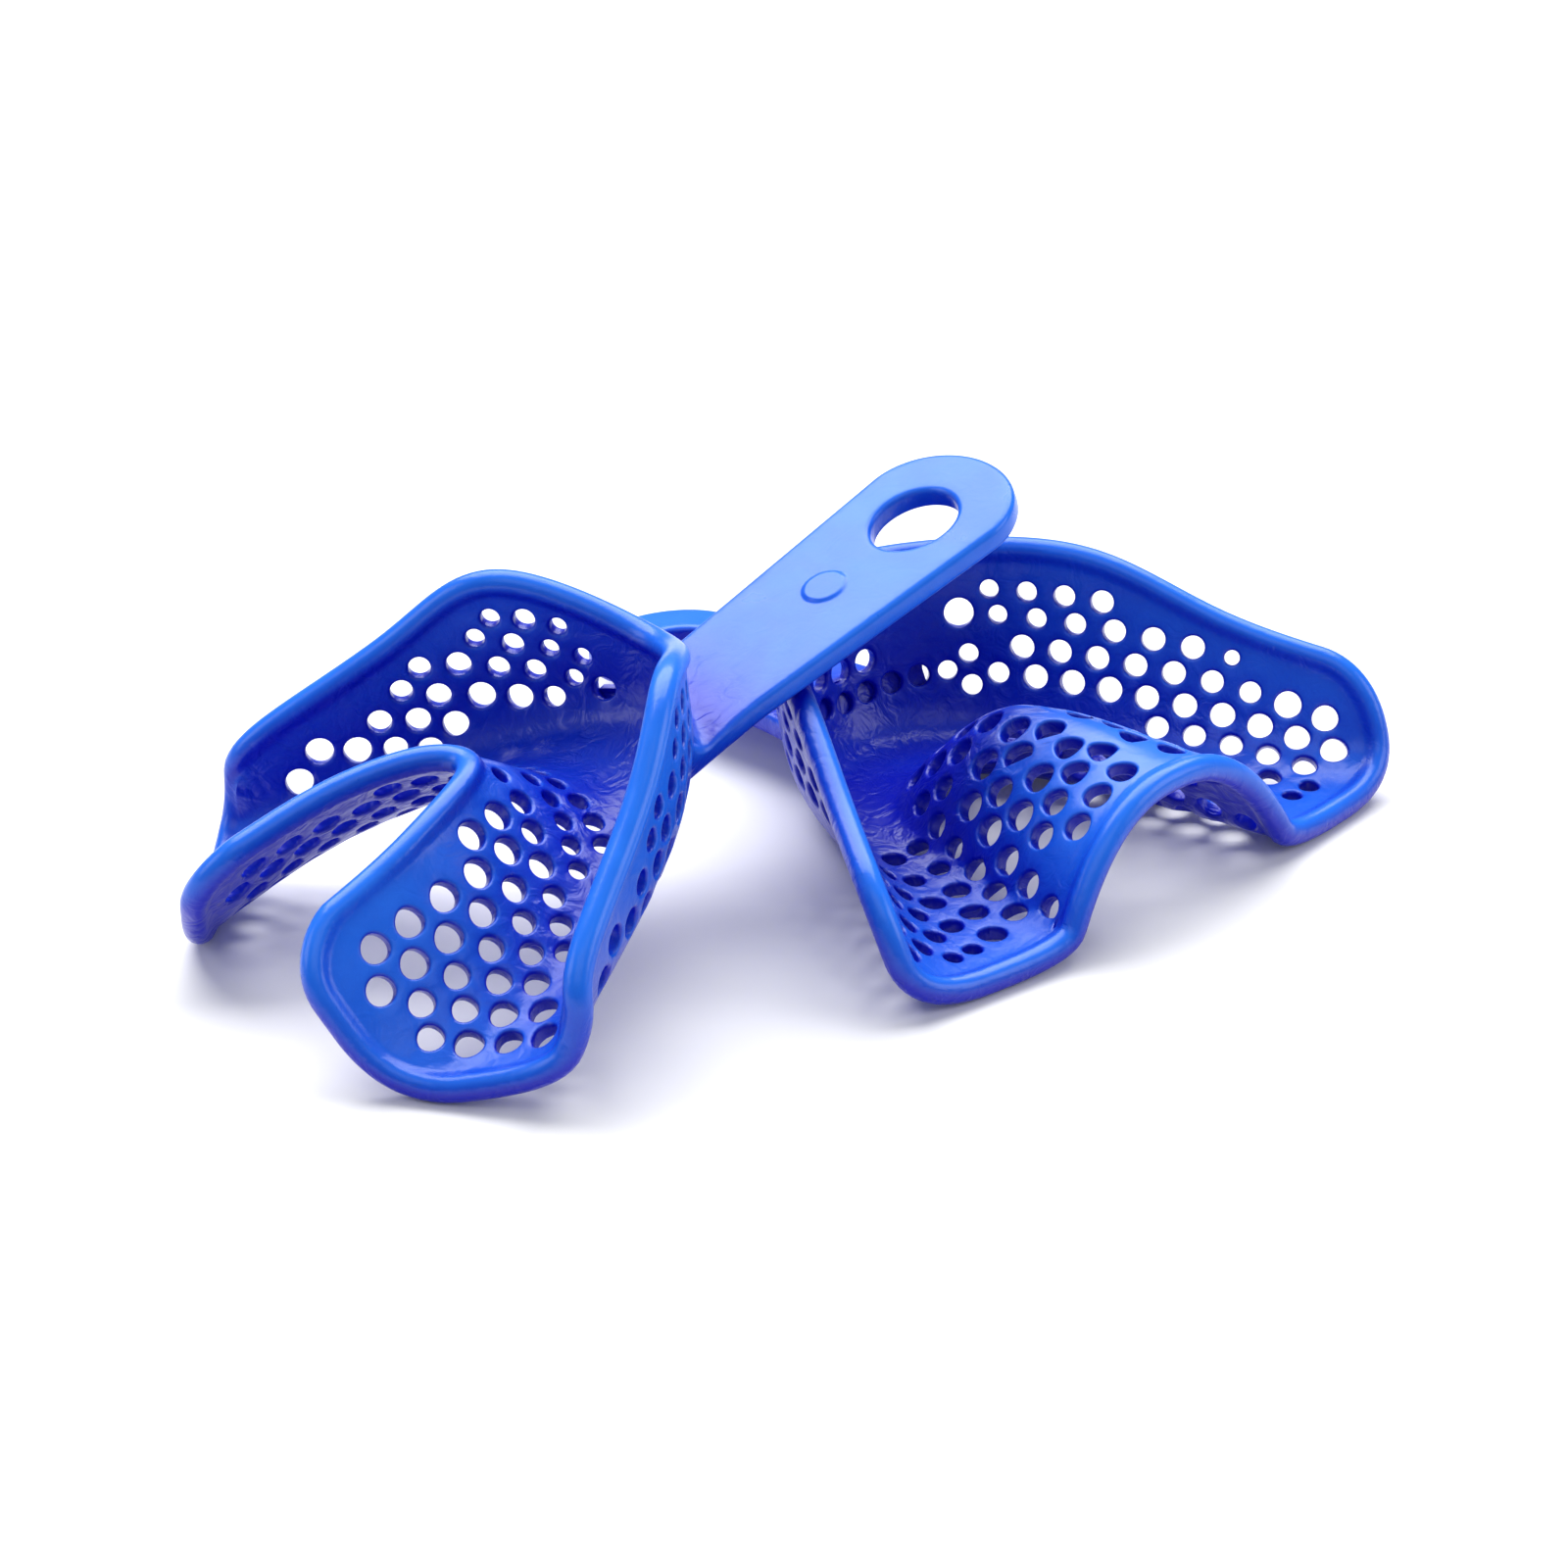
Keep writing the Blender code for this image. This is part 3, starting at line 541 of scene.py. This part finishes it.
def paddle_outline(fall, length):
    """Anticlockwise outline of a handle whose tip ends at (0, 0), and the way its edge faces."""
    root_width = HANDLE_END - HANDLE_TAPER * (length - HANDLE_TIP) + HANDLE_FLARE
    start = -length - fall * root_width ** 2
    y = np.linspace(start, -HANDLE_TIP, 90)[:-1]
    flare = np.clip(1 - (y - start) / (FLARE_LENGTH - length - start), 0, 1) ** 2 * HANDLE_FLARE
    x = HANDLE_END + HANDLE_TAPER * (y + HANDLE_TIP) + flare
    side = np.stack([x, y], axis=1)
    angles = np.linspace(0, math.pi, 49)
    tip = np.stack([HANDLE_END * np.cos(angles), HANDLE_TIP * (np.sin(angles) - 1)], axis=1)
    across = np.linspace(-x[0], x[0], 31)[1:-1]
    base = np.stack([across, -length - fall * across ** 2], axis=1)
    loop = np.vstack([side, tip, (side * (-1, 1))[::-1], base])
    facing = outward_of(loop) * np.clip((loop[:, 1:] - start) / EDGE_FADE, 0, 1)
    facing[-len(base):] = 0
    return loop, facing


def hole_outline():
    angles = np.arange(64) * math.tau / 64
    across, along = HANDLE_HOLE
    loop = np.stack([across * np.cos(angles), along * np.sin(angles) - HANDLE_HOLE_BACK], axis=1)
    return loop, -outward_of(loop)


def fillet_rise(distance, radius):
    """Height of a concave fillet at a distance from the wall it climbs."""
    if radius == 0:
        return np.zeros_like(distance)
    near = np.clip(distance, 0, radius)
    return radius - np.sqrt(radius ** 2 - (radius - near) ** 2)


def pip_rise(x, y):
    """Height of the raised round mark."""
    distance = np.hypot(x, y + PIP_BACK)
    share = np.clip((PIP_RADIUS + 0.3 * MM - distance) / (0.6 * MM), 0, 1)
    return PIP_HEIGHT * share ** 2 * (3 - 2 * share)


def handle_surfaces(spec, xy, depth=0.0):
    """Upper and lower points of the handle above and below flat places xy, each depth inside its face."""
    length = spec["tip_y"] - spec["root_y"] - spec["top_end"]
    x, y = xy[:, 0], xy[:, 1]
    from_root = y + length + spec["fall"] * x ** 2
    top = fillet_rise(from_root - spec["top_gap"], spec["top_fillet"]) + pip_rise(x, y) - depth
    share = np.clip(1 - from_root / spec["blend"], 0, 1)
    low_y = y + (spec["low_end"] - spec["top_end"]) * share
    low = -HANDLE_THICKNESS + spec["low_lift"] * share ** 2 + depth
    low = low - fillet_rise(from_root - spec["top_gap"], spec["low_fillet"])
    return np.stack([x, y, top], axis=1), np.stack([x, low_y, low], axis=1)


def tilted(spec, points):
    """Handle points moved from their own axes to the tray's."""
    y, z = points[:, 1], points[:, 2]
    cos, sin = math.cos(spec["tilt"]), math.sin(spec["tilt"])
    return np.stack([points[:, 0], spec["tip_y"] + y * cos - z * sin,
                     spec["top_z"] + y * sin + z * cos], axis=1)


def handle_loose(spec, border, hole):
    """Loose flat points of the handle: an even grid, rows along the fillet and rings round the pip."""
    length = spec["tip_y"] - spec["root_y"] - spec["top_end"]
    grid = hex_grid(border.min(axis=0), border.max(axis=0), FILL_STEP)
    from_root = grid[:, 1] + length + spec["fall"] * grid[:, 0] ** 2
    grid = grid[from_root > spec["top_gap"] + spec["top_fillet"] + 0.4 * FILL_STEP]
    grid = grid[abs(np.hypot(grid[:, 0], grid[:, 1] + PIP_BACK) - PIP_RADIUS) > 0.75 * MM]
    across = np.arange(border[:, 0].min(), border[:, 0].max(), 0.6 * MM)
    rows = [np.stack([across, -length + spec["top_gap"] + share * spec["top_fillet"]
                      - spec["fall"] * across ** 2], axis=1)
            for share in (0, 0.05, 0.17, 0.36, 0.62, 1)]
    angles = np.arange(48) * math.tau / 48
    circle = np.stack([np.cos(angles), np.sin(angles)], axis=1)
    centre = np.array([0, -PIP_BACK])
    shifts = (-0.45, -0.3, -0.15, 0, 0.15, 0.3, 0.45)
    rings = [centre + circle * (PIP_RADIUS + shift * MM) for shift in shifts]
    loose = np.vstack([grid] + rows + rings)
    loose = loose[inside_outline(border, loose) & ~inside_outline(hole, loose)]
    loops = np.vstack([border, hole])
    gap = distance_to_loop(np.pad(loose, ((0, 0), (0, 1))), np.pad(loops, ((0, 0), (0, 1))))
    return loose[gap > 0.3 * MM]


def handle_mesh(name, spec):
    """Closed paddle with rounded edges and a filleted root, in the tray's axes."""
    loops = [paddle_outline(spec["fall"], spec["tip_y"] - spec["root_y"] - spec["top_end"]), hole_outline()]
    border, hole = [loop - HANDLE_EDGE * facing for loop, facing in loops]
    coords, triangles = triangulate(border, [hole], handle_loose(spec, border, hole))
    count = len(coords)
    top, low = handle_surfaces(spec, coords)
    points = [top, low]
    faces = [tuple(t) for t in triangles] + [tuple(count + i for i in reversed(t)) for t in triangles]
    total, start = 2 * count, 0
    for loop, facing in loops:
        size = len(loop)
        previous = list(range(start, start + size))
        angles = np.linspace(0, math.pi / 2, EDGE_STEPS + 1)[1:]
        for side, order in ((0, angles), (1, angles[::-1])):
            for angle in order:
                inset = HANDLE_EDGE * (1 - math.sin(angle))
                depth = HANDLE_EDGE * (1 - math.cos(angle))
                points.append(handle_surfaces(spec, loop - inset * facing, depth)[side])
                level = list(range(total, total + size))
                quad_strip(faces, previous, level)
                previous = level
                total += size
        quad_strip(faces, previous, [count + i for i in range(start, start + size)])
        start += size
    mesh = mesh_from(name, tilted(spec, np.vstack(points)), faces)
    bm = bmesh.new()
    bm.from_mesh(mesh)
    bmesh.ops.recalc_face_normals(bm, faces=bm.faces[:])
    bm.to_mesh(mesh)
    bm.free()
    return mesh


# Handles: root_y, fall (how fast the root follows the wall back, y per x squared), tip_y and top_z place
# them; top_end and low_end say how far past root_y each face runs into the wall; the fillets climb it.
LOWER_HANDLE = {
    "root_y": 44.5 * MM, "fall": 0.041 / MM, "tip_y": 90.9 * MM, "top_z": 3.3 * MM,
    "tilt": math.radians(-1.1), "top_end": 2.1 * MM, "low_end": -4.0 * MM, "top_gap": 0.7 * MM,
    "top_fillet": 1.5 * MM, "low_fillet": 0, "low_lift": 0.35 * MM, "blend": 6.0 * MM,
}
UPPER_HANDLE = {
    "root_y": 47.7 * MM, "fall": 0.031 / MM, "tip_y": 82.8 * MM, "top_z": 6.3 * MM,
    "tilt": math.radians(-3.1), "top_end": 0.7 * MM, "low_end": -0.9 * MM, "top_gap": 0.8 * MM,
    "top_fillet": 1.5 * MM, "low_fillet": 1.2 * MM, "low_lift": 0, "blend": 3.0 * MM,
}
LOWER = {
    "name": "lower_tray", "rails": LOWER_RAILS, "rounding": LOWER_ROUNDING, "vaulted": False,
    "rim": LOWER_RIM_RADIUS, "hole": LOWER_HOLE, "lines": LOWER_LINES, "bend": LOWER_BEND,
    "handle": LOWER_HANDLE,
    "heading": math.radians(53.3), "tilt": math.radians(23.9), "slot": "lower_plastic",
}
UPPER = {
    "name": "upper_tray", "rails": UPPER_RAILS, "rounding": UPPER_ROUNDING, "vaulted": True,
    "rim": UPPER_RIM_RADIUS, "hole": UPPER_HOLE, "lines": UPPER_LINES, "bend": UPPER_BEND,
    "handle": UPPER_HANDLE,
    "heading": math.radians(-44.7), "tilt": 0.0, "slot": "upper_plastic",
}


def add_object(name, mesh):
    obj = bpy.data.objects.new(name, mesh)
    bpy.context.scene.collection.objects.link(obj)
    return obj


def joined(tray):
    """One closed mesh of the tray with its handle, in the tray's axes."""
    name = tray["name"]
    shell = add_object(name + "_shell", mesh_from(name + "_shell", *tray_shell(tray)))
    handle = add_object(name + "_handle", handle_mesh(name + "_handle", tray["handle"]))
    union = shell.modifiers.new("handle", "BOOLEAN")
    union.operation = "UNION"
    union.solver = "EXACT"
    union.object = handle
    evaluated = shell.evaluated_get(bpy.context.evaluated_depsgraph_get())
    mesh = bpy.data.meshes.new_from_object(evaluated)
    mesh.name = name + "_fine"
    bpy.data.objects.remove(shell, do_unlink=True)
    bpy.data.objects.remove(handle, do_unlink=True)
    return mesh


def place_tray(tray):
    """The fine tray, turned as it lies on the table and set in its CAD node's box."""
    mesh = joined(tray)
    mesh.transform(Euler((tray["tilt"], 0, -tray["heading"])).to_matrix().to_4x4())
    points = np.array([vert.co for vert in mesh.vertices])
    low, high = (np.array(corner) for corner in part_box(tray["name"]))
    shift = (low + high - points.min(axis=0) - points.max(axis=0)) / 2
    shift[2] = low[2] - points[:, 2].min()
    mesh.transform(Matrix.Translation(shift))
    mesh.shade_smooth()
    mesh.set_sharp_from_angle(angle=math.radians(50))
    obj = add_object(tray["name"] + "_moulding", mesh)
    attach(obj, tray["name"])
    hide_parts(tray["name"])
    return obj


class Nodes:
    """Short helpers for building a material's node tree."""

    def __init__(self, name):
        self.material = bpy.data.materials.new(name)
        self.material.use_nodes = True
        self.tree = self.material.node_tree
        self.shader = self.tree.nodes["Principled BSDF"]

    def add(self, kind, values=None, **settings):
        node = self.tree.nodes.new(kind)
        for key, value in settings.items():
            setattr(node, key, value)
        for key, value in (values or {}).items():
            node.inputs[key].default_value = value
        return node

    def link(self, source, target):
        self.tree.links.new(source, target)

    def ramp(self, source, stops):
        node = self.add("ShaderNodeValToRGB")
        elements = node.color_ramp.elements
        for element, (place, colour) in zip(elements, stops):
            element.position, element.color = place, colour
        self.link(source, node.inputs["Fac"])
        return node.outputs["Color"]


def blue_plastic(name):
    """Glossy moulded plastic: streaked colour with painted shade darkening it in the hollows, uneven gloss
    and swirls there.
    """
    nodes = Nodes(name)
    shader = nodes.shader
    place = nodes.add("ShaderNodeTexCoord").outputs["Object"]

    flow = nodes.add("ShaderNodeTexNoise", {"Scale": 70.0, "Detail": 4.0, "Distortion": 1.8})
    nodes.link(place, flow.inputs["Vector"])
    streaks = [(0.35, (0.008, 0.145, 0.78, 1)), (0.65, (0.011, 0.170, 0.85, 1))]
    open_blue = nodes.ramp(flow.outputs["Fac"], streaks)
    # Painted shade: where ambient occlusion finds the surface enclosed, the colour is mixed towards a deep
    # blue, so hollows read darker than the lamps alone make them.
    hollow = nodes.add("ShaderNodeAmbientOcclusion", {"Distance": 0.028}, samples=8)
    depth = nodes.add("ShaderNodeMapRange", {"From Min": 0.55, "From Max": 0.97})
    nodes.link(hollow.outputs["AO"], depth.inputs["Value"])
    colour = nodes.add("ShaderNodeMix", data_type="RGBA")
    nodes.link(depth.outputs["Result"], colour.inputs["Factor"])
    colour.inputs["A"].default_value = PAINTED_SHADE_BLUE
    nodes.link(open_blue, colour.inputs["B"])
    nodes.link(colour.outputs["Result"], shader.inputs["Base Color"])

    gloss = nodes.add("ShaderNodeTexNoise", {"Scale": 260.0, "Detail": 3.0})
    nodes.link(place, gloss.inputs["Vector"])
    rough = nodes.add("ShaderNodeMapRange", {"To Min": 0.24, "To Max": 0.36})
    nodes.link(gloss.outputs["Fac"], rough.inputs["Value"])
    nodes.link(rough.outputs["Result"], shader.inputs["Roughness"])

    swirl = nodes.add("ShaderNodeTexNoise", {"Scale": 380.0, "Detail": 2.0, "Distortion": 1.6})
    nodes.link(place, swirl.inputs["Vector"])
    ripple = nodes.add("ShaderNodeBump", {"Distance": 0.0004})
    open_range = {"From Min": 0.5, "From Max": 0.9, "To Min": 0.75, "To Max": 0.10}
    fade = nodes.add("ShaderNodeMapRange", open_range)
    nodes.link(hollow.outputs["AO"], fade.inputs["Value"])
    nodes.link(fade.outputs["Result"], ripple.inputs["Strength"])
    nodes.link(swirl.outputs["Fac"], ripple.inputs["Height"])
    nodes.link(ripple.outputs["Normal"], shader.inputs["Normal"])

    shader.inputs["IOR"].default_value = 1.46
    shader.inputs["Specular IOR Level"].default_value = 0.38
    shader.inputs["Coat Weight"].default_value = 0.08
    shader.inputs["Coat Roughness"].default_value = 0.14
    return nodes.material


def white_floor():
    """Table top, with a faint glow so that it stays white away from the trays."""
    nodes = Nodes("floor_white")
    grain = nodes.add("ShaderNodeTexNoise", {"Scale": 30.0, "Detail": 2.0})
    whites = [(0.3, (0.85, 0.85, 0.85, 1)), (0.7, (0.88, 0.88, 0.88, 1))]
    colour = nodes.ramp(grain.outputs["Fac"], whites)
    nodes.link(colour, nodes.shader.inputs["Base Color"])
    nodes.shader.inputs["Roughness"].default_value = 0.6
    nodes.shader.inputs["Specular IOR Level"].default_value = 0.2
    nodes.shader.inputs["Emission Color"].default_value = (0.90, 0.93, 1.0, 1)
    nodes.shader.inputs["Emission Strength"].default_value = FLOOR_GLOW
    mesh = bpy.data.meshes.new("floor")
    corners = [(x * FLOOR_HALF, y * FLOOR_HALF, 0) for x, y in ((-1, -1), (1, -1), (1, 1), (-1, 1))]
    mesh.from_pydata(corners, [], [(0, 1, 2, 3)])
    floor = add_object("floor", mesh)
    floor.location.z = -FLOOR_GAP
    mesh.materials.append(nodes.material)


def area_light(name, place, target, size, power):
    data = bpy.data.lights.new(name, "AREA")
    data.shape = "RECTANGLE"
    data.size, data.size_y = size
    data.energy = power
    light = bpy.data.objects.new(name, data)
    bpy.context.scene.collection.objects.link(light)
    light.location = place
    light.rotation_euler = (Vector(target) - Vector(place)).to_track_quat("-Z", "Y").to_euler()


def lights():
    """A large softbox above and behind, a smaller one in front and weak fills at the sides."""
    area_light("overhead", (-0.05, 0.50, 0.85), (0, 0, 0), (1.3, 0.9), 20.5)
    area_light("front", (0.0, -0.60, 0.75), (0, 0, 0), (0.9, 0.5), 1.5)
    area_light("left", (-0.9, -0.1, 0.45), (0, 0, 0.01), (0.5, 0.5), 2.0)
    area_light("right", (0.9, -0.1, 0.45), (0, 0, 0.01), (0.5, 0.5), 2.5)
    world = bpy.data.worlds.new("studio")
    bpy.context.scene.world = world
    world.use_nodes = True
    sky = world.node_tree.nodes["Background"]
    sky.inputs["Color"].default_value = (0.90, 0.94, 1.0, 1)
    sky.inputs["Strength"].default_value = 0.22


def camera():
    """The eye looks along +Y and down at the pair."""
    data = bpy.data.cameras.new("camera")
    data.sensor_width, data.lens = 36.0, 99.2
    eye = bpy.data.objects.new("camera", data)
    bpy.context.scene.collection.objects.link(eye)
    target = Vector((-0.0026, 0.0189, 0.0))
    elevation, distance = math.radians(25.66), 0.4618
    eye.location = target + distance * Vector((0, -math.cos(elevation), math.sin(elevation)))
    eye.rotation_euler = (math.pi / 2 - elevation, 0, 0)
    bpy.context.scene.camera = eye


def main():
    for tray in (UPPER, LOWER):
        obj = place_tray(tray)
        obj.data.materials.clear()
        obj.data.materials.append(blue_plastic(tray["slot"]))
    white_floor()
    lights()
    camera()
    bpy.context.scene.view_settings.view_transform = "Standard"


main()
